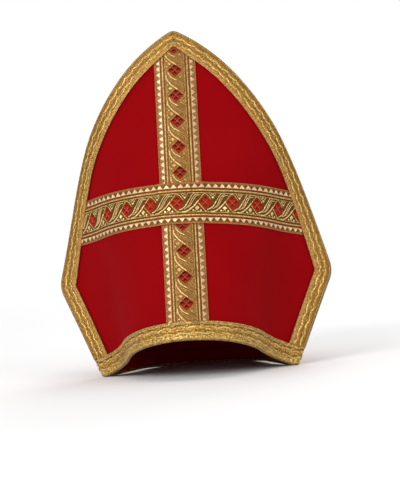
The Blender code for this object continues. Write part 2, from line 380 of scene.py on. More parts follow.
def rampNode(nodes, links, factor, stops, interpolation="LINEAR"):
    ramp = nodes.new("ShaderNodeValToRGB")
    ramp.color_ramp.interpolation = interpolation
    elements = ramp.color_ramp.elements
    while len(elements) < len(stops):
        elements.new(0.5)
    for element, (position, colour) in zip(elements, stops):
        element.position = position
        element.color = (*colour, 1.0)
    links.new(factor, ramp.inputs["Fac"])
    return ramp.outputs["Color"]


def mathNode(nodes, links, operation, first, second):
    node = nodes.new("ShaderNodeMath")
    node.operation = operation
    for socket, value in zip(node.inputs, (first, second)):
        if isinstance(value, (int, float)):
            socket.default_value = value
        else:
            links.new(value, socket)
    return node.outputs["Value"]


def blendNode(nodes, links, first, second, share):
    # the share of the first value plus the rest of the second
    first = mathNode(nodes, links, "MULTIPLY", first, share)
    second = mathNode(nodes, links, "MULTIPLY", second, 1.0 - share)
    return mathNode(nodes, links, "ADD", first, second)


def timesNode(nodes, links, first, second, amount=1.0):
    # one colour multiplied by another
    shade = nodes.new("ShaderNodeMixRGB")
    shade.blend_type = "MULTIPLY"
    shade.inputs["Fac"].default_value = amount
    links.new(first, shade.inputs["Color1"])
    links.new(second, shade.inputs["Color2"])
    return shade.outputs["Color"]


def bumpNode(nodes, links, height, look, shader):
    bump = nodes.new("ShaderNodeBump")
    bump.inputs["Strength"].default_value = look["bump"]
    bump.inputs["Distance"].default_value = look["bumpDepth"]
    links.new(height, bump.inputs["Height"])
    links.new(bump.outputs["Normal"], shader.inputs["Normal"])


def setShader(shader, look):
    # constants of the surface, by the names of the shader's sockets
    for socket, key in (("Metallic", "metallic"), ("Roughness", "roughness"),
                        ("Specular IOR Level", "specular"), ("Sheen Weight", "sheen"),
                        ("Sheen Roughness", "sheenRoughness"), ("Sheen Tint", "sheenTint")):
        if key in look:
            shader.inputs[socket].default_value = look[key]


feltLook = {
    "colour": (0.232, 0.0004, 0.0016),
    "worn": (0.262, 0.0010, 0.0028),
    "spread": (0.35, 0.65),   # where the blend of nap and cloud takes each colour
    "napShare": 0.45,
    "napScale": 900.0,
    "napDetail": 4.0,
    "cloudScale": 14.0,
    "roughness": 0.85,
    "specular": 0.04,
    "sheen": 0.05,
    "sheenRoughness": 0.5,
    "sheenTint": (1.0, 0.10, 0.16, 1.0),
    "bump": 0.5,
    "bumpDepth": 0.12 * mm,
}


def makeFelt(name, look):
    material, nodes, links, shader = newMaterial(name)
    place = nodes.new("ShaderNodeTexCoord").outputs["Object"]
    nap = noiseNode(nodes, links, place, look["napScale"], look["napDetail"])
    cloud = noiseNode(nodes, links, place, look["cloudScale"])
    blend = blendNode(nodes, links, nap, cloud, look["napShare"])
    stops = tuple(zip(look["spread"], (look["colour"], look["worn"])))
    links.new(rampNode(nodes, links, blend, stops), shader.inputs["Base Color"])
    setShader(shader, look)
    bumpNode(nodes, links, nap, look, shader)
    return material


goldLook = {
    "metallic": 0.7,
    "roughness": 0.36,
    "deep": (0.22, 0.085, 0.008),
    "mid": (0.52, 0.29, 0.055),
    "pale": (0.92, 0.66, 0.26),
    "spread": (0.30, 0.48, 0.68),
    "twist": 0.13,
    "bump": 0.5,
    "bumpDepth": 0.12 * mm,
}


def makeThread(name, look, pitch, grain):
    # wound metal thread: a slanting twist round a cord, with a grain along it
    material, nodes, links, shader = newMaterial(name)
    place, along, around = coordNodes(nodes, links)
    phase = mathNode(nodes, links, "ADD", mathNode(nodes, links, "DIVIDE", along, pitch), around)
    angle = mathNode(nodes, links, "MULTIPLY", phase, 2.0 * math.pi)
    wave = mathNode(nodes, links, "SINE", angle, 0.0)
    speck = noiseNode(nodes, links, place, grain)
    tone = mathNode(nodes, links, "ADD", mathNode(nodes, links, "MULTIPLY", wave, look["twist"]), speck)
    stops = tuple(zip(look["spread"], (look["deep"], look["mid"], look["pale"])))
    links.new(rampNode(nodes, links, tone, stops), shader.inputs["Base Color"])
    setShader(shader, look)
    bumpNode(nodes, links, wave, look, shader)
    return material


# tones of the braid's ground from its outer edge in, as shares of its width: its own gold and olive tones,
# with painted shade in the dark bands beside its cords and, on the edge braid, along its outer edge where
# it turns from the light, and painted highlight on the tops of its raised bands
braidTonesAndShade = {
    "edge": (
        (0.00, (0.24, 0.165, 0.055)), (0.09, (0.25, 0.15, 0.030)), (0.14, (0.28, 0.125, 0.008)),
        (0.24, (0.34, 0.16, 0.012)), (0.31, (0.48, 0.27, 0.045)), (0.42, (0.46, 0.26, 0.040)),
        (0.47, (0.27, 0.125, 0.008)), (0.53, (0.32, 0.16, 0.012)), (0.62, (0.50, 0.29, 0.055)),
        (0.75, (0.50, 0.27, 0.055)), (0.94, (0.52, 0.28, 0.070)), (1.00, (0.44, 0.19, 0.060)),
    ),
    "rim": (
        (0.00, (0.44, 0.27, 0.060)), (0.10, (0.60, 0.38, 0.090)), (0.28, (0.58, 0.35, 0.075)),
        (0.36, (0.50, 0.29, 0.050)), (0.45, (0.32, 0.16, 0.012)), (0.51, (0.42, 0.22, 0.025)),
        (0.58, (0.60, 0.36, 0.070)), (0.72, (0.48, 0.26, 0.035)), (0.77, (0.19, 0.105, 0.004)),
        (0.83, (0.28, 0.155, 0.010)), (0.88, (0.56, 0.35, 0.095)), (1.00, (0.50, 0.25, 0.080)),
    ),
}


pebbleLook = {
    "metallic": 0.5,
    "roughness": goldLook["roughness"],
    "spread": (0.40, 0.58, 0.78),
    "fineness": 0.6,
    "bump": 0.8,
    "bumpDepth": 0.45 * mm,
}


def makePebble(name, look, zones, grain, dark, light):
    # close pebbled weave of the braid's ground, toned across its width, with painted glints that whiten
    # the top of each pebble and painted shade at its edges
    material, nodes, links, shader = newMaterial(name)
    place, _, inset = coordNodes(nodes, links)
    cells = nodes.new("ShaderNodeTexVoronoi")
    cells.inputs["Scale"].default_value = 1.0 / grain
    links.new(place, cells.inputs["Vector"])
    fine = noiseNode(nodes, links, place, look["fineness"] / grain, 2.0)
    dome = mathNode(nodes, links, "SUBTRACT", 1.0, cells.outputs["Distance"])
    tone = blendNode(nodes, links, dome, fine, 0.5)
    share = mathNode(nodes, links, "DIVIDE", inset, face["braidWidth"])
    shade = rampNode(nodes, links, tone, tuple(zip(look["spread"], (dark, (1.0, 1.0, 1.0), light))))
    links.new(timesNode(nodes, links, rampNode(nodes, links, share, zones), shade),
              shader.inputs["Base Color"])
    setShader(shader, look)
    bumpNode(nodes, links, dome, look, shader)
    return material


# one woven ground in two colourings that differ as painted light and shade: darker on the bar and lighter
# on the upright, for how threads running across or along catch the light
ribbonLooks = {
    "bar": {
        "field": (0.110, 0.045, 0.004),
        "gap": (0.095, 0.030, 0.004),
        "bed": (0.230, 0.095, 0.013),
        "line": (0.140, 0.036, 0.006),
        "toothGround": (0.150, 0.060, 0.008),
        "tan": (0.330, 0.155, 0.036),
        "selvage": (0.400, 0.130, 0.040),
    },
    "upright": {
        "field": (0.225, 0.105, 0.020),
        "gap": (0.130, 0.048, 0.007),
        "bed": (0.220, 0.095, 0.018),
        "line": (0.160, 0.050, 0.009),
        "toothGround": (0.245, 0.130, 0.042),
        "tan": (0.370, 0.175, 0.050),
        "selvage": (0.400, 0.150, 0.048),
    },
}

# half widths of the ribbon's stripes, from its centre line out
stripes = {
    "field": 10.6 * mm,
    "gap": 11.9 * mm,
    "bed": 14.2 * mm,
    "line": 15.7 * mm,
    "toothGround": 19.9 * mm,
    "tan": 20.8 * mm,
    "selvage": 22.1 * mm,
}


weaveLook = {
    "metallic": 0.5,
    "roughness": 0.55,
    "specular": 0.2,
    "grain": 800.0,
    "shades": ((0.32, (0.45, 0.45, 0.45)), (0.68, (1.6, 1.6, 1.6))),
    "amount": 0.85,
    "bump": 0.5,
    "bumpDepth": 0.12 * mm,
}


def makeRibbonGround(name, colours, look):
    # the woven ground that shows between the raised threads, striped along its length
    material, nodes, links, shader = newMaterial(name)
    place, _, across = coordNodes(nodes, links)
    half = 0.5 * face["ribbonWidth"]
    out = mathNode(nodes, links, "ABSOLUTE", mathNode(nodes, links, "SUBTRACT", across, half), 0.0)
    share = mathNode(nodes, links, "DIVIDE", out, half)
    starts = [0.0] + list(stripes.values())
    stops = [(start / half, colours[stripe]) for start, stripe in zip(starts, stripes)]
    colour = rampNode(nodes, links, share, stops, "CONSTANT")
    speck = noiseNode(nodes, links, place, look["grain"], 2.0)
    shade = rampNode(nodes, links, speck, look["shades"])
    links.new(timesNode(nodes, links, colour, shade, look["amount"]), shader.inputs["Base Color"])
    setShader(shader, look)
    bumpNode(nodes, links, speck, look, shader)
    return material


satinLook = {
    "roughness": 0.55,
    "specular": 0.04,
    "grain": 1100.0,
    "spread": (0.3, 0.7),
    "shades": (0.7, 1.35),
}


def makeSatin(name, colour, look=satinLook):
    # floss in the diamonds
    material, nodes, links, shader = newMaterial(name)
    place = nodes.new("ShaderNodeTexCoord").outputs["Object"]
    speck = noiseNode(nodes, links, place, look["grain"], 2.0)
    stops = [(at, tuple(min(shade * part, 1.0) for part in colour))
             for at, shade in zip(look["spread"], look["shades"])]
    links.new(rampNode(nodes, links, speck, stops), shader.inputs["Base Color"])
    setShader(shader, look)
    return material


paleLook = dict(goldLook, metallic=0.3, deep=(0.36, 0.20, 0.075), mid=(0.66, 0.43, 0.21),
                pale=(0.96, 0.78, 0.50))
brightLook = dict(goldLook, deep=(0.28, 0.13, 0.014), mid=(0.62, 0.36, 0.075), pale=(1.0, 0.76, 0.33),
                  roughness=0.32)
strandLook = dict(goldLook, deep=(0.50, 0.28, 0.060), mid=(0.84, 0.57, 0.20), pale=(1.0, 0.86, 0.50),
                  roughness=0.32)
# darker, duller copy of the gold thread for the upright: painted shade, for how its threads catch less
# light than the bar's; the tan selvage thread below borrows its finish and darkest tone
shadedGoldLook = dict(goldLook, metallic=0.5, roughness=0.42, deep=(0.20, 0.085, 0.014), mid=(0.42, 0.23, 0.056),
                pale=(0.74, 0.49, 0.20))

# darker copy of the outline cord for the upright, painted shade
outlineLook = dict(shadedGoldLook, mid=(0.38, 0.205, 0.046), pale=(0.60, 0.38, 0.13))
selvageLook = dict(shadedGoldLook, mid=(0.38, 0.13, 0.035), pale=(0.58, 0.26, 0.09))
# darker copy of the pale tooth thread for the upright, painted shade
shadedPaleLook = dict(paleLook, mid=(0.54, 0.34, 0.165), pale=(0.86, 0.66, 0.40))
railLook = dict(goldLook, mid=(0.60, 0.35, 0.085), pale=(1.0, 0.75, 0.34))
knotLook = dict(goldLook, roughness=0.5, mid=(0.34, 0.18, 0.022), pale=(0.62, 0.40, 0.11))

materials = {
    "felt": makeFelt("redFelt", feltLook),
    "gusset": makeFelt("redGussetCloth", dict(feltLook, colour=(0.20, 0.0004, 0.0012), napScale=1400.0)),
    # the last two colours of each weave darken the edges of the pebbles and whiten their tops: painted
    # shade and painted glints
    "edgePebble": makePebble("goldEdgeWeave", pebbleLook, braidTonesAndShade["edge"], 1.2 * mm,
                             (0.56, 0.52, 0.46), (1.50, 1.52, 1.60)),
    "rimPebble": makePebble("goldRimWeave", pebbleLook, braidTonesAndShade["rim"], 1.7 * mm,
                            (0.40, 0.36, 0.29), (1.90, 1.95, 2.10)),
    # the bar's and the upright's grounds are one weave, told apart by painted shade and light
    "barGround": makeRibbonGround("barGround", ribbonLooks["bar"], weaveLook),
    "uprightGround": makeRibbonGround("uprightGround", ribbonLooks["upright"], weaveLook),
    # the diamonds' red floss, then darker reds that are painted shade: a dimmer copy for the upright's
    # diamonds, and the shaded sides of the hollows on the bar and on the upright
    "red": makeSatin("redFloss", (0.34, 0.016, 0.007)),
    "dimRed": makeSatin("dimRedFloss", (0.270, 0.012, 0.006)),
    "shadedRed": makeSatin("shadedRedFloss", (0.20, 0.007, 0.003)),
    "deepShadedRed": makeSatin("deepShadedRedFloss", (0.085, 0.002, 0.001)),
}
# key, name, look, length of one twist and grain of each thread
for key, name, look, pitch, grain in (
    ("cord", "goldCord", brightLook, 1.6 * mm, 500.0),
    ("knot", "goldKnot", knotLook, 1.3 * mm, 700.0),
    ("picot", "goldPicot", dict(goldLook, metallic=0.4), 1.0 * mm, 700.0),
    ("rail", "goldRail", railLook, 0.9 * mm, 800.0),
    ("thread", "goldThread", strandLook, 0.9 * mm, 800.0),
    # the upright's strand and outline threads here and its tooth thread below are darker copies of the
    # bar's, painted shade
    ("shadedThread", "shadedGoldThread", shadedGoldLook, 0.9 * mm, 800.0),
    ("shadedOutline", "shadedGoldOutline", outlineLook, 0.9 * mm, 800.0),
    ("selvage", "tanThread", selvageLook, 0.8 * mm, 800.0),
    ("tooth", "paleThread", paleLook, 0.8 * mm, 900.0),
    ("shadedTooth", "shadedPaleThread", shadedPaleLook, 0.8 * mm, 900.0),
):
    materials[key] = makeThread(name, look, pitch, grain)
print("materials ready")

feltCut = {
    "columns": 96,
    "seamRows": 9,
    "rowStep": 3.0 * mm,
    "hem": 1.0 * mm,
    "notch": 1.5 * mm,
    "trim": 0.8 * mm,
    "braidGap": 0.6 * mm,
    "ripple": 0.35 * mm,
    "calmEdge": 25.0 * mm,    # the ripple dies out this near to the sides
    "seamDraw": 3.6 * mm,
    "drawBelow": 1.0 * mm,    # what lies deeper than this is drawn in at the seams
    "weld": 0.01 * mm,
}

# two waves of the felt's soft ripple, one across and up it and one slanting over it
ripple = {
    "across": (61.0, 2.0),    # radians a metre, and where the wave starts
    "up": (47.0, 0.6),
    "slant": (23.0, 31.0),    # radians a metre across and up
    "slantShare": 0.6,
    "level": 0.9,
}


def braidStart(inset, clearance):
    # distance up the side at which the edge braid meets the top of the rim braid
    inset = np.asarray(inset, float)

    def gap(distance):
        across, height = outline(distance, inset)
        part = np.minimum(across / bandWidth(face["braidWidth"]), 1.0)
        return height - rimHeight(part) - face["braidWidth"] - clearance

    low = np.zeros(inset.shape)
    return solve(gap, low, low + face["seamLength"])


def rippleAt(across, height):
    wide, tall, slant = ripple["across"], ripple["up"], ripple["slant"]
    wave = np.sin(across * wide[0] + wide[1]) * np.sin(height * tall[0] + tall[1])
    return wave + ripple["slantShare"] * np.sin(across * slant[0] - height * slant[1])


def makeFace(name, node, back):
    top = float(braidStart(0.0, feltCut["braidGap"]))
    low = np.linspace(feltCut["hem"], top, feltCut["seamRows"])
    high = np.arange(top + feltCut["notch"], outlineLength, feltCut["rowStep"])
    distances = np.concatenate([low, high, [outlineLength]])
    insets = np.where(distances <= top, seamTip, feltCut["trim"])
    widths, heights = outline(distances, insets)
    rows = len(distances) - 1
    bm = newSheet(feltCut["columns"], rows)
    verts = bm.verts[:]
    co = vertArray(verts)
    row = np.rint(co[:, 1] * rows).astype(int)
    part = 2.0 * co[:, 0] - 1.0
    across = part * widths[row]
    fade = np.clip((shoulderHeight - heights[row]) / (shoulderHeight - face["rimCornerHeight"]), 0.0, 1.0)
    height = heights[row] + face["rimRise"] * (1.0 - part ** 2) * fade
    calm = np.clip((1.0 - np.abs(part)) * widths[row] / feltCut["calmEdge"], 0.0, 1.0)
    lift = feltCut["ripple"] * (rippleAt(across, height) - ripple["level"]) * calm * 0.5
    moveVerts(verts, np.stack([across, height, np.minimum(lift, 0.0)], -1))
    uv = bm.loops.layers.uv.active
    for item in bm.faces:
        for loop in item.loops:
            loop[uv].uv = loop.vert.co.xy
    inner = list(bm.verts)
    bmesh.ops.extrude_face_region(bm, geom=bm.faces[:], use_keep_orig=True)
    bmesh.ops.translate(bm, verts=inner, vec=(0.0, 0.0, -face["felt"]))
    bmesh.ops.remove_doubles(bm, verts=bm.verts[:], dist=feltCut["weld"])
    bmesh.ops.recalc_face_normals(bm, faces=bm.faces[:])

    def sewn(co):
        # inside the side seams the two faces are drawn together
        points = onFace(co[:, 0], co[:, 1], co[:, 2])
        near = np.clip(-points[:, 1] / feltCut["seamDraw"], 0.0, 1.0)
        inside = (co[:, 2] < -feltCut["drawBelow"]) & (near < 1.0)
        points[:, 1] = np.where(inside, -feltCut["seamDraw"] * near ** 4, points[:, 1])
        return stand(points, back)

    piece = finishMesh(bm, name, [materials["felt"]], sewn)
    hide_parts(node)
    return piece


frontFace = makeFace("frontFace", "front_panel", False)
backFace = makeFace("backFace", "back_panel", True)

gussetCut = {
    "valleyHeight": 100.0 * mm,
    "valleyWidth": 0.30,
    "valleyPower": 6,         # how late the valley climbs to the shoulders
    "valleyLift": 0.05,
    "hang": 0.35,             # the share by which the cloth leans in and down from each face
    "endDrop": 7.0 * mm,
    "end": 0.03,              # its ends start this share up the long edge
    "inset": 3.0 * mm,
    "seat": 0.7 * mm,
    "cloth": 1.4 * mm,
    "columns": 120,
    "rows": 64,
    "foldDepth": 2.2 * mm,
    "clip": (0.9995, 0.999),  # keeps the normal's nudge on the cloth, along it and over it
    "nudge": 0.0005,
}

# soft creases of the gusset, in radians over half of its length or of its fold
creases = {
    "along": 17.0,
    "sway": 1.3,
    "swayTurn": (3.0, 1.0),   # over the fold, and where the sway starts
    "slant": (31.0, 5.0),     # along it and over the fold
    "slantShare": 0.6,
    "height": 0.25,
    "level": 0.2,
}


def gussetSurface(along, fold):
    # along runs over the point from shoulder to shoulder, fold from front to back, each -1 to 1
    low = shoulderEnd + gussetCut["end"] * face["edgeLength"]
    width, height = outline(outlineLength + (low - outlineLength) * np.abs(along), gussetCut["inset"])
    seat = -face["felt"] - gussetCut["seat"]
    top = onFace(np.copysign(width, along), height, seat)
    endWidth, endHeight = outline(low, gussetCut["inset"])
    end = onFace(endWidth, endHeight, seat)
    share = np.abs(top[..., 0]) / end[0]
    valleyRise = end[2] - gussetCut["endDrop"] - gussetCut["valleyHeight"]
    valleyZ = gussetCut["valleyHeight"] + valleyRise * share ** gussetCut["valleyPower"]
    drop = top[..., 2] - valleyZ
    zero = 0.0 * drop
    valley = np.stack([top[..., 0], zero, valleyZ], -1)
    upper = top + np.stack([zero, -gussetCut["hang"] * top[..., 1], -gussetCut["hang"] * drop], -1)
    climb = gussetCut["valleyLift"] * drop
    lower = valley + np.stack([zero, gussetCut["valleyWidth"] * top[..., 1], climb], -1)
    part = (1.0 - np.abs(fold))[..., None]
    rest = 1.0 - part
    point = top * rest ** 3 + upper * 3.0 * rest ** 2 * part
    point = point + lower * 3.0 * rest * part ** 2 + valley * part ** 3
    point[..., 1] = np.where(fold > 0.0, -point[..., 1], point[..., 1])
    return point


def gussetFolds(along, fold):
    # slack cloth falls in soft creases that run down into the valley
    loose = np.sin(math.pi * (1.0 - np.abs(fold))) * (1.0 - np.abs(along) ** 4)
    turn, slant = creases["swayTurn"], creases["slant"]
    wave = np.sin(along * creases["along"] + creases["sway"] * np.sin(fold * turn[0] + turn[1]))
    wave = wave + creases["slantShare"] * np.sin(along * slant[0] - fold * slant[1])
    return gussetCut["foldDepth"] * loose * (creases["height"] * wave - creases["level"])


def placeGusset(co):
    endClip, foldClip = gussetCut["clip"]
    along = np.clip(2.0 * co[:, 0] - 1.0, -endClip, endClip)
    fold = np.clip(2.0 * co[:, 1] - 1.0, -foldClip, foldClip)
    lift = co[:, 2] + gussetFolds(along, fold)
    return stand(lifted(gussetSurface, along, fold, gussetCut["nudge"], lift))


def makeGusset():
    bm = newSheet(gussetCut["columns"], gussetCut["rows"])
    under = set(bm.verts)
    bmesh.ops.extrude_face_region(bm, geom=bm.faces[:], use_keep_orig=True)
    over = [vert for vert in bm.verts if vert not in under]
    bmesh.ops.translate(bm, verts=over, vec=(0.0, 0.0, gussetCut["cloth"]))
    bmesh.ops.recalc_face_normals(bm, faces=bm.faces[:])
    piece = finishMesh(bm, "crownGusset", [materials["gusset"]], placeGusset)
    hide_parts("crown_gusset")
    return piece


crownGusset = makeGusset()

braid = {
    "width": face["braidWidth"],
    "seat": 0.75 * mm,
    "rimSeat": face["stripGap"],
    "ground": 1.2 * mm,       # thickness of the ground above its seat
    "step": 1.1 * mm,
    "scallop": 14.4 * mm,     # length of one wave
    "wave": 1.0 * mm,
    "linksAt": 6.4 * mm,      # a chain of overlapping links, and a waved cord beside it
    "waveAt": 12.6 * mm,
    "cordWidth": 1.9 * mm,
    "cordRise": 0.46,         # as a share of its width
    "cordSink": 0.15 * mm,
    "drape": 0.25 * mm,       # a cord lies this much higher at its crests
    "linkSpan": 1.25,         # length of a link in waves, and its points
    "linkPoints": 15,
    "linkLow": 0.3 * mm,
    "linkBow": 0.4 * mm,
    "knot": (2.6 * mm, 1.5 * mm, 0.75 * mm),
    "knotDrop": 1.9 * mm,
    "endGap": 0.2 * mm,
    "workedLift": 1.5 * mm,   # what stands higher than this is the worked face
    "crease": 1.3 * mm,
    "mitreCrease": 1.0 * mm,
    "foldCrease": 2.0 * mm,   # half width, place and share of the fold beside the mitre
    "foldAt": 3.4 * mm,
    "foldShare": 0.5,
    "shoulderCrease": 2.2 * mm,
    "shoulderShare": 0.4,
    "overhang": 1.2 * mm,
    "narrow": 1.1 * mm,
    "crownReach": 120.0 * mm,
    "pinch": 2.2 * mm,
    "pinchReach": 14.0 * mm,
    "tipRun": 16.0 * mm,      # how much of its run the rim braid spends on a side seam
    "picotPitch": 2.1 * mm,
    "picot": (0.85 * mm, 0.6 * mm, 0.52 * mm),
    "picotShift": 0.3,
    "pebble": 0.14 * mm,
    "seed": 5,
    "edgeWrap": 2.9 * mm,     # how far the outer edge comes down over the felt
    "rimWrap": 2.6 * mm,
    "weld": 0.005 * mm,
}
picotRows = (1.4 * mm, 16.3 * mm, braid["width"] - 0.3 * mm)

# ridges of the braid's face: where, half width and rise
braidRidges = (
    (2.4 * mm, 3.0 * mm, 0.55 * mm),
    (braid["linksAt"], 1.9 * mm, 0.55 * mm),
    (9.5 * mm, 1.4 * mm, 0.40 * mm),
    (braid["waveAt"], 1.9 * mm, 0.55 * mm),
    (16.6 * mm, 2.6 * mm, 0.55 * mm),
)

# the braid's section: its rounded outer edge, its face and its underside, with points in each
braidCut = {
    "edgeIn": 0.2 * mm,
    "edgeBulge": 0.95 * mm,
    "edgePower": 0.8,
    "edgePoints": 6,
    "faceFrom": 0.6 * mm,
    "faceTo": braid["width"] - 0.3 * mm,
    "facePoints": 32,
    "underTo": 1.0 * mm,
    "underPoints": 7,
}

# uneven lumps where the rim braid is pulled round a side seam, in radians a metre
rimLumps = {
    "height": 0.45 * mm,
    "reach": 11.0 * mm,
    "fine": (1100.0, 1.0, 900.0),   # up the band, where that wave starts, and along the band
    "coarse": (610.0, 540.0),       # up and along
    "coarseShare": 0.7,
}
crownLeg, pointLeg = legs[3:]
crownStart = outlineLength - crownLeg[0] - pointLeg[0]


def dent(distance, reach):
    return np.exp(-(distance / reach) ** 2)


def braidEnd(inset):
    # distance up the side at which a border of the given inset comes to the centre line
    low = np.zeros(np.shape(inset)) + face["seamLength"]
    return solve(lambda d: -outline(d, inset)[0], low, low * 0.0 + outlineLength)


def ridge(inset, centre, half):
    return np.clip(1.0 - ((inset - centre) / half) ** 2, 0.0, None) ** 0.5


def braidTop(inset):
    # lift of the braid's face above its seat: two outer bands, two cord beds and a low middle
    rise = 0.0
    for at, half, height in braidRidges:
        rise = np.maximum(rise, height * ridge(inset, at, half))
    return braid["ground"] + rise


def braidSection(wrap):
    # once round the braid's section: inset, lift above the seat, and one where it is the worked top
    turned = np.linspace(0.0, 1.0, braidCut["edgePoints"])
    bulge = braidCut["edgeBulge"] * np.sin(math.pi * turned) ** braidCut["edgePower"]
    edge = np.stack([braidCut["edgeIn"] - bulge, -wrap + (wrap + braid["ground"]) * turned], -1)
    worked = np.linspace(braidCut["faceFrom"], braidCut["faceTo"], braidCut["facePoints"])
    under = np.linspace(braid["width"], braidCut["underTo"], braidCut["underPoints"])
    rows = [(inset, lift, 0.0) for inset, lift in edge]
    rows += [(inset, 0.0, 1.0) for inset in worked]
    rows += [(braid["width"], braid["ground"] * 0.5, 0.0)]
    rows += [(inset, 0.0, 0.0) for inset in under]
    return np.array(rows)


edgeBase = float(braidStart(0.0, braid["endGap"]))
edgeTotal = outlineLength - edgeBase


def edgePattern(run, inset):
    # run goes up the right side of a face, over the point and down the left; the arms meet in a
    # mitre; round the crown the braid stands out over the edge and is drawn narrower, most at the point
    away = np.abs(run - edgeTotal)
    crowned = np.exp(-(away / braid["crownReach"]) ** 4)
    pinch = braid["narrow"] * crowned + braid["pinch"] * dent(away, braid["pinchReach"])
    inset = inset - braid["overhang"] * crowned - pinch * np.clip(inset / braid["width"], 0.0, None) ** 3
    start = braidStart(np.clip(inset, 0.0, None), braid["endGap"])
    distance = edgeBase + np.minimum(run, 2.0 * edgeTotal - run)
    above = np.clip(seamEnd - distance, 0.0, None) / (seamEnd - edgeBase)
    crown = np.clip(distance - crownStart, 0.0, None) / (outlineLength - crownStart)
    distance = distance + above * (start - edgeBase) + crown * (braidEnd(inset) - outlineLength)
    width, height = outline(distance, inset)
    return np.where(run <= edgeTotal, width, -width), height


def placeOnEdge(run, inset, lift, back):
    distance = edgeBase + np.minimum(run, 2.0 * edgeTotal - run)
    shoulder = distance - 0.5 * (seamEnd + shoulderEnd)
    past = run - edgeTotal
    folded = dent(past, braid["mitreCrease"])
    folded = folded + braid["shoulderShare"] * dent(shoulder, braid["shoulderCrease"])
    folded = folded - braid["foldShare"] * dent(past + braid["foldAt"], braid["foldCrease"])
    lift = lift - braid["crease"] * folded * (lift > braid["workedLift"])
    width, height = edgePattern(run, inset)
    return toFace(np.stack([width, height, lift], -1), back)


def rimTip(band, turn, lift):
    # round the left side seam, from the front face to the back face
    width = bandWidth(band)
    height = face["rimCornerHeight"] + band
    start = onFace(-width, height, 0.0 * band)
    normal = onFace(-width, height, 0.0 * band + 1.0) - start
    radius = start[:, 1] / normal[:, 1]
    centre = start - normal * radius[:, None]
    across = np.arctan2(normal[:, 1], normal[:, 0])
    turned = across - 2.0 * (math.pi + across) * turn
    spoke = np.stack([np.cos(turned), np.sin(turned), 0.0 * turned], -1)
    return centre + spoke * (radius + lift)[:, None]


frontRun = 2.0 * float(bandWidth(0.5 * braid["width"]))
tipRun = braid["tipRun"]
rimRun = 2.0 * (frontRun + tipRun)


def placeOnRim(run, inset, lift):
    # run starts at the right of the front face and goes round by the left, with the inset up from the rim
    half = run % (0.5 * rimRun)
    part = np.clip(1.0 - 2.0 * half / frontRun, -1.0, 1.0)
    corner = np.minimum(np.abs(half - frontRun - 0.5 * tipRun), half + 0.5 * tipRun)
    fine, coarse = rimLumps["fine"], rimLumps["coarse"]
    lumps = np.sin(inset * fine[0] + fine[1]) * np.sin(half * fine[2])
    lumps = lumps + rimLumps["coarseShare"] * np.sin(inset * coarse[0] - half * coarse[1])
    lumps = rimLumps["height"] * lumps * dent(corner, rimLumps["reach"])
    lift = lift + lumps * (lift > braid["workedLift"])
    flat = onFace(part * bandWidth(inset), rimHeight(part) + inset, lift)
    tip = rimTip(inset, np.clip((half - frontRun) / tipRun, 0.0, 1.0), lift)
    points = np.where((half > frontRun)[:, None], tip, flat)
    turned = (run % rimRun) >= 0.5 * rimRun
    points = points * np.where(turned, -1.0, 1.0)[:, None] ** np.array((1.0, 1.0, 2.0))
    return stand(points)


def makeBraid(name, length, closed, seat, wrap, place, look):
    # the braid's ground: a strip with a section of its own, drawn along its run
    section = braidSection(wrap)
    around = len(section)
    steps = int(length / braid["step"])
    bm = newSheet(steps, around)
    verts = bm.verts[:]
    co = vertArray(verts)
    row = np.rint(co[:, 1] * around).astype(int)
    slot = row % around
    run = co[:, 0] * length
    inset = section[slot, 0]
    worked = section[slot, 2] > 0.5
    grain = np.random.default_rng(braid["seed"]).uniform(-1.0, 1.0, (steps + 1, around))
    station = np.rint(co[:, 0] * steps).astype(int)
    if closed:
        station = station % steps
    rise = np.where(worked, braidTop(inset) + braid["pebble"] * grain[station, slot], section[slot, 1])
    uv = bm.loops.layers.uv.active
    rowInset = np.append(section[:, 0], section[0, 0])
    for item in bm.faces:
        for loop in item.loops:
            loop[uv].uv.x *= length
            loop[uv].uv.y = rowInset[round(loop[uv].uv.y * around)]
    moveVerts(verts, place(run, inset, seat + rise))
    bmesh.ops.remove_doubles(bm, verts=bm.verts[:], dist=braid["weld"])
    if not closed:
        ends = [edge for edge in bm.edges if edge.is_boundary]
        bmesh.ops.holes_fill(bm, edges=ends, sides=0)
    bmesh.ops.recalc_face_normals(bm, faces=bm.faces[:])
    return finishMesh(bm, name, [look])


def drapedLine(length, pitch, at, phase, top):
    # a cord that hangs from crest to crest along the braid
    run = np.linspace(0.0, length, int(length / braid["step"]) + 1)
    sag = np.abs(np.sin(math.pi * (run / pitch + phase))) ** 0.8
    inset = at + braid["wave"] * (2.0 * sag - 1.2)
    return np.stack([run, inset, top + braid["drape"] * (1.0 - sag)], -1)


def addDomes(bm, points, size, detail, material):
    # small raised knots at (run, inset, lift)
    for point in points:
        made = bmesh.ops.create_icosphere(bm, subdivisions=detail, radius=1.0)
        bmesh.ops.transform(bm, matrix=Matrix.Translation(point) @ Matrix.Diagonal((*size, 1.0)),
                            verts=made["verts"])
    for item in bm.faces:
        item.material_index = material


def braidLift(inset):
    return float(braidTop(np.array([inset]))[0])


def linkLine(pitch, top):
    # one link of the chain, from one side of its row to the other
    along = np.linspace(0.0, braid["linkSpan"] * pitch, braid["linkPoints"])
    sway = np.cos(math.pi * along / along[-1])
    bow = np.sin(math.pi * along / along[-1])
    lift = top - braid["linkLow"] + braid["linkBow"] * bow
    return np.stack([along, braid["linksAt"] - braid["wave"] * sway, lift], -1)


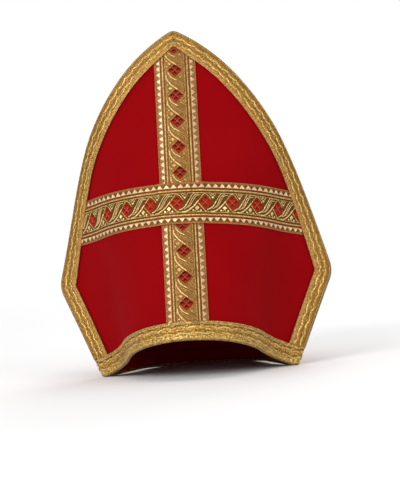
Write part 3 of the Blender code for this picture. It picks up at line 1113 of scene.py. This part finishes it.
def makeBraidCords(name, length, closed, seat, place):
    # two cords couched along the braid, knots under their crests, and the little loops of its edges
    pitch = length / (8 * round(length / braid["scallop"] / 8.0))
    top = braidLift(braid["waveAt"]) - braid["cordSink"]
    width, rise = braid["cordWidth"], braid["cordRise"] * braid["cordWidth"]
    bm = bmesh.new()
    bm.loops.layers.uv.new("strip")
    if closed:
        layCord(bm, linkLine(pitch, top), width, rise, taper=2)
        copyAlong(bm, length, pitch)
    else:
        layCord(bm, drapedLine(length, pitch, braid["linksAt"], 0.0, top), width, rise)
    layCord(bm, drapedLine(length, pitch, braid["waveAt"], 0.5, top), width, rise)
    knots = bmesh.new()
    points = [(0.5 * pitch, braid["waveAt"] + braid["knotDrop"], top)]
    points.append((0.0 if not closed else 0.5 * pitch, braid["linksAt"] + braid["knotDrop"], top))
    addDomes(knots, points, braid["knot"], 2, 1)
    copyAlong(knots, length, pitch)
    loops = bmesh.new()
    points = [((0.5 + braid["picotShift"] * row) * braid["picotPitch"], inset, braidLift(inset))
              for row, inset in enumerate(picotRows)]
    addDomes(loops, points, braid["picot"], 1, 2)
    copyAlong(loops, length, braid["picotPitch"])
    for part in (knots, loops):
        mesh = bpy.data.meshes.new(name + "Part")
        part.to_mesh(mesh)
        part.free()
        bm.from_mesh(mesh)
        bpy.data.meshes.remove(mesh)
    bmesh.ops.recalc_face_normals(bm, faces=bm.faces[:])

    def bendIt(co):
        run = co[:, 0] if closed else np.clip(co[:, 0], 0.0, length)
        return place(run, co[:, 1], seat + co[:, 2])

    return finishMesh(bm, name, [materials["cord"], materials["knot"], materials["picot"]], bendIt)


edgeRun = 2.0 * edgeTotal
for side, back in (("front", False), ("back", True)):
    def place(run, inset, lift, back=back):
        return placeOnEdge(run, inset, lift, back)

    ground = makeBraid(side + "EdgeBraid", edgeRun, False, braid["seat"], braid["edgeWrap"], place,
                       materials["edgePebble"])
    cords = makeBraidCords(side + "EdgeBraidCords", edgeRun, False, braid["seat"], place)
    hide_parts(side + "_edge_braid")

ground = makeBraid("rimBraid", rimRun, True, braid["rimSeat"], braid["rimWrap"], placeOnRim,
                   materials["rimPebble"])
cords = makeBraidCords("rimBraidCords", rimRun, True, braid["rimSeat"], placeOnRim)
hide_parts("rim_braid")
print("braids laid")

ribbon = {
    "width": face["ribbonWidth"],
    "seat": face["stripGap"],
    "thickness": 0.85 * mm,
    "unit": 28.9 * mm,
    "uprightUnit": 27.84 * mm,
    "units": 12,
    "barHeight": 150.1 * mm,
    "barTilt": math.radians(-0.85),
    "barDroop": 1.4 * mm,
    "barFirst": -4.4 * mm,
    "uprightFirst": 44.0 * mm,
    "raise": 1.9 * mm,
    "ramp": 6.0 * mm,
    "diamondLong": 7.5 * mm,
    "diamondWide": 7.5 * mm,
    "tuck": 6.0 * mm,         # how far the upright runs on under the braid at the point
    "pressed": 0.33,          # what is left there of its thickness
    "pressRamp": 1.0 * mm,
    "pressLead": 0.9,
    "coverReach": 60.0 * mm,  # length of the braid's inner edge that is drawn for this, and its points
    "coverPoints": 60,
    "gap": 0.15 * mm,         # between the ribbon and the braid
    "footReach": 30.0 * mm,   # how far up the upright follows the arch of the rim
    "climbGap": 0.8 * mm,
    "barSpare": 2.0 * mm,
    "spare": 9.0 * mm,
    "step": 1.6 * mm,
    "rows": 28,
    "rounding": 0.35 * mm,    # how far its face drops at the selvages
    "railStep": 1.8 * mm,
    "sink": 0.1 * mm,         # how far cords and pads are set into the ground
    "cutNudge": 0.1 * mm,
    "barCuts": (124.0 * mm, 140.0 * mm, 158.0 * mm, 176.0 * mm),
    "pointCuts": 6,
    "pointReach": 34.0 * mm,
    "topDraw": 4.0 * mm,      # the last repeat is drawn down under the braid
    "topReach": 26.0 * mm,
}

# routes of one repeat in millimetres, along the ribbon and across it, from a diamond's middle
routes = {
    "crescent": (((4.2, -9.6), (9.6, -9.0), (16.2, -4.6), (20.5, 0.2), (22.6, 2.4)),),
    "outline": (
        ((-7.4, -0.3), (-1.2, -8.0), (1.0, -9.3), (4.2, -9.6)),
        ((22.6, 2.4), (26.6, 7.6), (28.9, 9.4), (32.1, 7.6), (35.9, 2.4)),
    ),
    "foot": (((1.4, -7.7), (4.8, -6.4), (7.9, -4.2), (9.9, -1.4), (11.9, 1.9)),),
    "strand": (
        ((11.4, 1.1), (13.0, 3.6), (16.0, 8.2), (18.6, 10.0), (28.2, 10.1)),
        ((7.0, -6.8), (9.9, -5.2), (12.0, -2.9), (13.7, -0.1), (14.8, 2.3), (17.2, 6.4), (19.6, 8.5),
         (22.0, 8.9)),
        ((10.6, -5.4), (13.5, -3.0), (15.9, 0.8), (18.0, 4.3), (19.9, 6.9), (21.6, 7.7), (25.0, 8.1)),
    ),
    "fine": (
        ((4.2, 10.1), (8.3, 4.6)), ((8.3, 4.6), (12.2, 10.2)), ((6.0, 10.3), (10.4, 7.2)),
        ((10.4, 10.3), (5.9, 7.2)),
        ((-10.8, -5.6), (-7.0, -9.6)), ((-6.4, -4.4), (-11.4, -9.8)), ((-9.4, -9.9), (-4.4, -9.9)),
    ),
}
# width, rise and finish of each kind of cord
cordSizes = {
    "crescent": (1.6 * mm, 0.72 * mm, "leaf"),
    "outline": (1.0 * mm, 0.50 * mm, "outline"),
    "foot": (1.35 * mm, 0.70 * mm, "leaf"),
    "strand": (0.80 * mm, 0.80 * mm, "strand"),
    "fine": (0.55 * mm, 0.40 * mm, "strand"),
    "cross": (0.55 * mm, 0.42 * mm, "selvage"),
}
# straight rails: how far out from the middle, width, rise and finish
rails = (
    (13.1 * mm, 1.5 * mm, 0.70 * mm, "rail"),
    (10.3 * mm, 0.7 * mm, 0.40 * mm, "rail"),
    (20.3 * mm, 0.7 * mm, 0.30 * mm, "selvage"),
    (21.5 * mm, 1.1 * mm, 0.35 * mm, "selvage"),
    (16.15 * mm, 0.6 * mm, 0.36 * mm, "tooth"),
)
# sawteeth beyond the rails
tooth = {
    "count": 4,
    "start": 0.62,            # where the first stands, in spaces
    "base": 16.2 * mm,
    "half": 3.0 * mm,
    "tip": 0.55 * mm,
    "length": 3.5 * mm,
    "rise": 0.4 * mm,
    "edge": 0.5 * mm,
    "dome": 0.15 * mm,
}
# lattice pads of one repeat in millimetres: along, across and half size
pads = ((8.2, 5.4, 1.2), (-8.4, -5.6, 2.1), (-12.6, -8.4, 1.2), (-5.0, -8.6, 1.2))
padShape = {"rise": 0.35 * mm, "edge": 0.4 * mm, "dome": 0.1 * mm}
hollow = {"seat": 0.05 * mm, "rise": 0.32 * mm, "edge": 0.3 * mm, "depth": 0.3 * mm}

# material of each finish; the upright's strand, outline and tooth threads and its red are darker copies of
# the bar's, painted shade, while its crescent and foot cords ('leaf') keep the bright thread as painted
# highlight; 'shade' is the painted shade on the upper sides of the diamonds' hollows
ribbonFinishes = {
    "upright": {"ground": "uprightGround", "strand": "shadedThread", "leaf": "thread",
                "outline": "shadedOutline", "selvage": "selvage", "tooth": "shadedTooth", "rail": "rail",
                "red": "dimRed", "shade": "deepShadedRed"},
    "bar": {"ground": "barGround", "strand": "thread", "leaf": "thread",
            "outline": "cord", "selvage": "selvage", "tooth": "tooth", "rail": "rail",
            "red": "red", "shade": "shadedRed"},
}
cordFinishes = ("strand", "leaf", "outline", "selvage", "tooth", "rail")

# inner edge of the braid over the point, for what lies under it
pointRun = np.linspace(edgeTotal - ribbon["coverReach"], edgeTotal, ribbon["coverPoints"])
pointAcross, pointHeight = edgePattern(pointRun, 0.0 * pointRun + face["braidWidth"])


def barShift(across):
    return across * math.tan(ribbon["barTilt"]) - ribbon["barDroop"] * (across / face["rimHalfWidth"]) ** 2


def addPad(bm, corners, centre, rise, edge, sink=0.0):
    # a small pad on the given corners, with its top drawn in; returns the faces of its top
    made = bmesh.ops.create_circle(bm, cap_ends=True, segments=len(corners), radius=1.0)
    moveVerts(made["verts"], [Vector((x, y, 0.0)) + Vector(centre) for x, y in corners])
    base = list({item for vert in made["verts"] for item in vert.link_faces})
    walls = bmesh.ops.extrude_face_region(bm, geom=base, use_keep_orig=True)
    tops = [item for item in walls["geom"] if isinstance(item, bmesh.types.BMFace)]
    lid = list({vert for item in tops for vert in item.verts})
    bmesh.ops.translate(bm, verts=lid, vec=(0.0, 0.0, rise))
    bmesh.ops.inset_region(bm, faces=tops, thickness=edge, depth=-sink)
    return tops


def diamond(long, wide):
    return (long, 0.0), (0.0, wide), (-long, 0.0), (0.0, -wide)


def ribbonPlan(name, back, upright):
    # where a ribbon runs from and to, and how its repeats are spaced
    inner = face["braidWidth"] + ribbon["gap"]
    if upright:
        inner = inner - ribbon["tuck"]
        unit = ribbon["uprightUnit"]
        low = float(rimHeight(0.0)) + face["braidWidth"] + ribbon["gap"]
        high = float(heightAt(0.0, inner))
        first = -ribbon["uprightFirst"] - unit * (ribbon["units"] - 2)
    else:
        unit = ribbon["unit"]
        low = -float(widthAt(ribbon["barHeight"] - 0.5 * ribbon["width"], inner)) - ribbon["barSpare"]
        high = -low
        first = ribbon["barFirst"] - unit * (ribbon["units"] // 2 - 1)
    return {
        "name": name,
        "back": back,
        "upright": upright,
        "inner": inner,
        "unit": unit,
        "first": first,
        "low": low,
        "high": high,
        "start": (-high if upright else low) - ribbon["spare"],
        "length": high - low + 2.0 * ribbon["spare"],
        "top": ribbon["seat"] + ribbon["thickness"],
    }


def onUpright(points, low, high):
    # follows the arch of the rim at its foot, and is pressed flat under the braid at the point
    run, wide, lift = points[:, 0], points[:, 1], points[:, 2]
    drop = face["rimRise"] * (wide / face["rimHalfWidth"]) ** 2
    height = -run - drop * np.clip(1.0 - (-run - low) / ribbon["footReach"], 0.0, 1.0)
    drawn = np.clip(1.0 - (high - height) / ribbon["topReach"], 0.0, 1.0)
    height = height - ribbon["topDraw"] * drawn
    covered = height - np.interp(np.abs(wide), pointAcross[::-1], pointHeight[::-1])
    covered = np.clip(covered / ribbon["pressRamp"] + ribbon["pressLead"], 0.0, 1.0)
    return np.stack([wide, height, lift * (1.0 - (1.0 - ribbon["pressed"]) * covered)], -1)


def onBar(points):
    # climbs over the upright where they cross
    run, wide, lift = points[:, 0], points[:, 1], points[:, 2]
    away = np.abs(run) - 0.5 * ribbon["width"] - ribbon["climbGap"]
    rise = 1.0 - np.clip(away / ribbon["ramp"], 0.0, 1.0)
    rise = rise * rise * (3.0 - 2.0 * rise)
    return np.stack([run, ribbon["barHeight"] + wide + barShift(run), lift + ribbon["raise"] * rise], -1)


def trimEnds(bm, plan):
    # cuts the ribbon's ends to the inner edge of the braid
    inner, nudge = plan["inner"], ribbon["cutNudge"]
    if plan["upright"]:
        cutAt(bm, (0.0, plan["low"] - nudge, 0.0), (0.0, -1.0, 0.0))
        end = float(braidEnd(inner))
        distances = np.linspace(end - ribbon["pointReach"], end, ribbon["pointCuts"])
    else:
        levels = np.array(ribbon["barCuts"])
        low = np.zeros(len(levels))
        distances = solve(lambda d: outline(d, inner)[1] - levels, low, low + outlineLength)
    for distance in distances:
        x, y = outline(distance, inner)
        aheadX, aheadY = outline(distance + nudge, inner)
        behindX, behindY = outline(distance - nudge, inner)
        normal = Vector((float(aheadY - behindY), float(behindX - aheadX), 0.0)).normalized()
        cutAt(bm, (float(x), float(y), 0.0), normal)
        cutAt(bm, (-float(x), float(y), 0.0), Vector((-normal.x, normal.y, 0.0)))


def repeatUnit(bm, plan):
    # copies one repeat to every diamond's place along the ribbon
    unit = plan["unit"]
    bmesh.ops.scale(bm, vec=(unit / ribbon["unit"], 1.0, 1.0), verts=bm.verts[:])
    bmesh.ops.translate(bm, verts=bm.verts[:], vec=(plan["first"], 0.0, 0.0))
    copyAlong(bm, unit * ribbon["units"], unit)


def layRibbon(bm, plan, part, finishes, smooth=True):
    # lays a part of the ribbon on the cutting pattern, trims it and bends it onto the face
    points = vertArray(bm.verts)
    placed = onUpright(points, plan["low"], plan["high"]) if plan["upright"] else onBar(points)
    moveVerts(bm.verts, placed)
    bmesh.ops.recalc_face_normals(bm, faces=bm.faces[:])
    trimEnds(bm, plan)
    table = ribbonFinishes["upright" if plan["upright"] else "bar"]
    looks = [materials[table[finish]] for finish in finishes]
    return finishMesh(bm, plan["name"] + part, looks, lambda co: toFace(co, plan["back"]), smooth)


def makeGround(plan):
    bm = newSheet(int(plan["length"] / ribbon["step"]), ribbon["rows"])
    scaleUvs(bm, bm.faces, plan["length"], ribbon["width"])
    for vert in bm.verts:
        vert.co.x = plan["start"] + vert.co.x * plan["length"]
        vert.co.y = (vert.co.y - 0.5) * ribbon["width"]
    under = set(bm.verts)
    bmesh.ops.extrude_face_region(bm, geom=bm.faces[:], use_keep_orig=True)
    for vert in bm.verts:
        vert.co.z = ribbon["seat"]
        if vert not in under:
            vert.co.z = plan["top"] - ribbon["rounding"] * (abs(vert.co.y) / (0.5 * ribbon["width"])) ** 12
    return layRibbon(bm, plan, "", ("ground",))


def makeRibbonCords(plan):
    # the cords of one repeat and the cross between a diamond's four hollows, then the straight rails
    bed = plan["top"] - ribbon["sink"]
    bm = bmesh.new()
    bm.loops.layers.uv.new("strip")
    for kind, kindRoutes in routes.items():
        width, rise, finish = cordSizes[kind]
        for route in kindRoutes:
            line = smoothRoute([(x * mm, y * mm, bed) for x, y in route], 6 * len(route) - 4)
            layCord(bm, line, width, rise, material=cordFinishes.index(finish))
    width, rise, finish = cordSizes["cross"]
    long, wide = 0.5 * ribbon["diamondLong"], 0.5 * ribbon["diamondWide"]
    high = plan["top"] + ribbon["sink"]
    for turn in (1.0, -1.0):
        line = smoothRoute([(-long, -wide * turn, high), (long, wide * turn, high)], 8)
        layCord(bm, line, width, rise, sides=5, material=cordFinishes.index(finish))
    repeatUnit(bm, plan)
    steps = int(plan["length"] / ribbon["railStep"])
    run = np.linspace(plan["start"], plan["start"] + plan["length"], steps + 1)
    for at, width, rise, finish in rails:
        for side in (-1.0, 1.0):
            line = np.stack([run, 0.0 * run + side * at, 0.0 * run + bed], -1)
            layCord(bm, line, width, rise, material=cordFinishes.index(finish))
    return layRibbon(bm, plan, "Cords", cordFinishes)


def makeTeeth(plan):
    # sawteeth, and the small pads of the lattice
    bed = plan["top"] - ribbon["sink"]
    bm = bmesh.new()
    for index in range(tooth["count"]):
        for side in (-1.0, 1.0):
            along = (index + tooth["start"]) * ribbon["unit"] / tooth["count"]
            reach = side * tooth["length"]
            half, tip = tooth["half"], tooth["tip"]
            shape = ((-half, 0.0), (half, 0.0), (tip, reach), (-tip, reach))
            place = (along, side * tooth["base"], bed)
            addPad(bm, shape, place, tooth["rise"], tooth["edge"], -tooth["dome"])
    for x, y, size in pads:
        shape = diamond(size * mm, size * mm)
        place = (x * mm, y * mm, bed)
        for item in addPad(bm, shape, place, padShape["rise"], padShape["edge"], -padShape["dome"]):
            for edge in item.edges:
                for near in edge.link_faces:
                    near.material_index = 1
    repeatUnit(bm, plan)
    return layRibbon(bm, plan, "Teeth", ("tooth", "strand"), False)


def makeDiamonds(plan):
    # red diamonds, each in four hollows, with two sides of every hollow in a darker red, painted shade
    bm = bmesh.new()
    long, wide = 0.5 * ribbon["diamondLong"], 0.5 * ribbon["diamondWide"]
    for x, y in ((0.0, wide), (0.0, -wide), (long, 0.0), (-long, 0.0)):
        place = (x, y, plan["top"] - hollow["seat"])
        tops = addPad(bm, diamond(long, wide), place, hollow["rise"], hollow["edge"])
        sunk = bmesh.ops.poke(bm, faces=tops, offset=-hollow["depth"], center_mode="MEAN")
        for item in sunk["faces"]:
            middle = item.calc_center_median()
            # the upper faces of each hollow take the painted shade
            shaded = x - middle.x if plan["upright"] else middle.y - y
            item.material_index = 1 if shaded > 0.0 else 0
    repeatUnit(bm, plan)
    return layRibbon(bm, plan, "Diamonds", ("red", "shade"), False)


def makeRibbon(name, node, back, upright):
    plan = ribbonPlan(name, back, upright)
    ground = makeGround(plan)
    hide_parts(node)
    cords, teeth, stones = makeRibbonCords(plan), makeTeeth(plan), makeDiamonds(plan)
    return ground


for side, back in (("front", False), ("back", True)):
    makeRibbon(side + "Upright", side + "_cross_upright", back, True)
    makeRibbon(side + "Bar", side + "_cross_bar", back, False)
print("ribbons laid")

# the camera that matches the picture
shot = {
    "target": (5.7 * mm, 0.0, 131.65 * mm),
    "azimuth": math.radians(5.1495),
    "elevation": math.radians(0.6143),
    "roll": math.radians(-3.9715),
    "distance": 1.8074,
    "focalPixels": 1619.8,
    "frameHeight": 500,
    "sensor": 24.0,
    "clipEnd": 50.0,
}


def makeCamera():
    azimuth, elevation = shot["azimuth"], shot["elevation"]
    back = Vector((math.sin(azimuth) * math.cos(elevation), -math.cos(azimuth) * math.cos(elevation),
                   math.sin(elevation)))
    camera = bpy.data.objects.new("camera", bpy.data.cameras.new("camera"))
    camera.data.sensor_fit = "VERTICAL"
    camera.data.sensor_height = shot["sensor"]
    camera.data.lens = shot["focalPixels"] * shot["sensor"] / shot["frameHeight"]
    camera.data.clip_end = shot["clipEnd"]
    turn = back.to_track_quat("Z", "Y").to_matrix().to_4x4() @ Matrix.Rotation(shot["roll"], 4, "Z")
    camera.matrix_world = Matrix.Translation(Vector(shot["target"]) + back * shot["distance"]) @ turn
    bpy.context.scene.collection.objects.link(camera)
    bpy.context.scene.camera = camera


studio = {
    "floorRadius": 2.6,
    "floorColour": (0.86, 0.86, 0.86, 1.0),
    "floorRoughness": 0.9,
    "aim": (0.0, 0.0, 0.18),
    "fadeStart": 0.5,
    "worldShown": 1.0,
    "worldLight": 0.55,
    "lights": (
        {"name": "key", "at": (-1.1, -2.4, 1.5), "size": 1.3, "power": 44.0},
        {"name": "fill", "at": (2.0, -1.9, 0.9), "size": 1.6, "power": 16.5},
        {"name": "side", "at": (-1.7, -0.5, 0.35), "size": 0.5, "power": 2.2},
        {"name": "top", "at": (0.2, 0.4, 2.4), "size": 1.6, "power": 16.0},
        {"name": "rear", "at": (0.5, 2.6, 1.4), "size": 1.6, "power": 26.0},
    ),
}


def makeFloor():
    bm = bmesh.new()
    bmesh.ops.create_circle(bm, cap_ends=True, segments=96, radius=studio["floorRadius"])
    mesh = bpy.data.meshes.new("floor")
    bm.to_mesh(mesh)
    bm.free()
    floor = bpy.data.objects.new("floor", mesh)
    bpy.context.scene.collection.objects.link(floor)
    material, nodes, links, shader = newMaterial("floorPaper")
    shader.inputs["Base Color"].default_value = studio["floorColour"]
    shader.inputs["Roughness"].default_value = studio["floorRoughness"]
    coords = nodes.new("ShaderNodeTexCoord").outputs["Object"]
    out = nodes.new("ShaderNodeVectorMath")
    out.operation = "LENGTH"
    links.new(coords, out.inputs[0])
    fade = nodes.new("ShaderNodeMapRange")
    fade.interpolation_type = "SMOOTHSTEP"
    fade.inputs["From Min"].default_value = studio["fadeStart"]
    fade.inputs["From Max"].default_value = studio["floorRadius"]
    fade.inputs["To Min"].default_value = 1.0
    fade.inputs["To Max"].default_value = 0.0
    links.new(out.outputs["Value"], fade.inputs["Value"])
    links.new(fade.outputs["Result"], shader.inputs["Alpha"])
    mesh.materials.append(material)


def makeLights():
    scene = bpy.context.scene
    scene.world = bpy.data.worlds.new("studio")
    scene.world.use_nodes = True
    nodes = scene.world.node_tree.nodes
    links = scene.world.node_tree.links
    background = nodes["Background"]
    background.inputs["Color"].default_value = (1.0, 1.0, 1.0, 1.0)
    rays = nodes.new("ShaderNodeLightPath")
    strength = nodes.new("ShaderNodeMapRange")
    links.new(rays.outputs["Is Camera Ray"], strength.inputs["Value"])
    strength.inputs["To Min"].default_value = studio["worldLight"]
    strength.inputs["To Max"].default_value = studio["worldShown"]
    links.new(strength.outputs["Result"], background.inputs["Strength"])
    for row in studio["lights"]:
        lamp = bpy.data.lights.new(row["name"], "AREA")
        lamp.size = row["size"]
        lamp.energy = row["power"]
        light = bpy.data.objects.new(row["name"], lamp)
        turn = (Vector(studio["aim"]) - Vector(row["at"])).to_track_quat("-Z", "Y")
        light.matrix_world = Matrix.Translation(row["at"]) @ turn.to_matrix().to_4x4()
        scene.collection.objects.link(light)
    scene.view_settings.view_transform = "Standard"


makeCamera()
makeFloor()
makeLights()
print("studio ready")
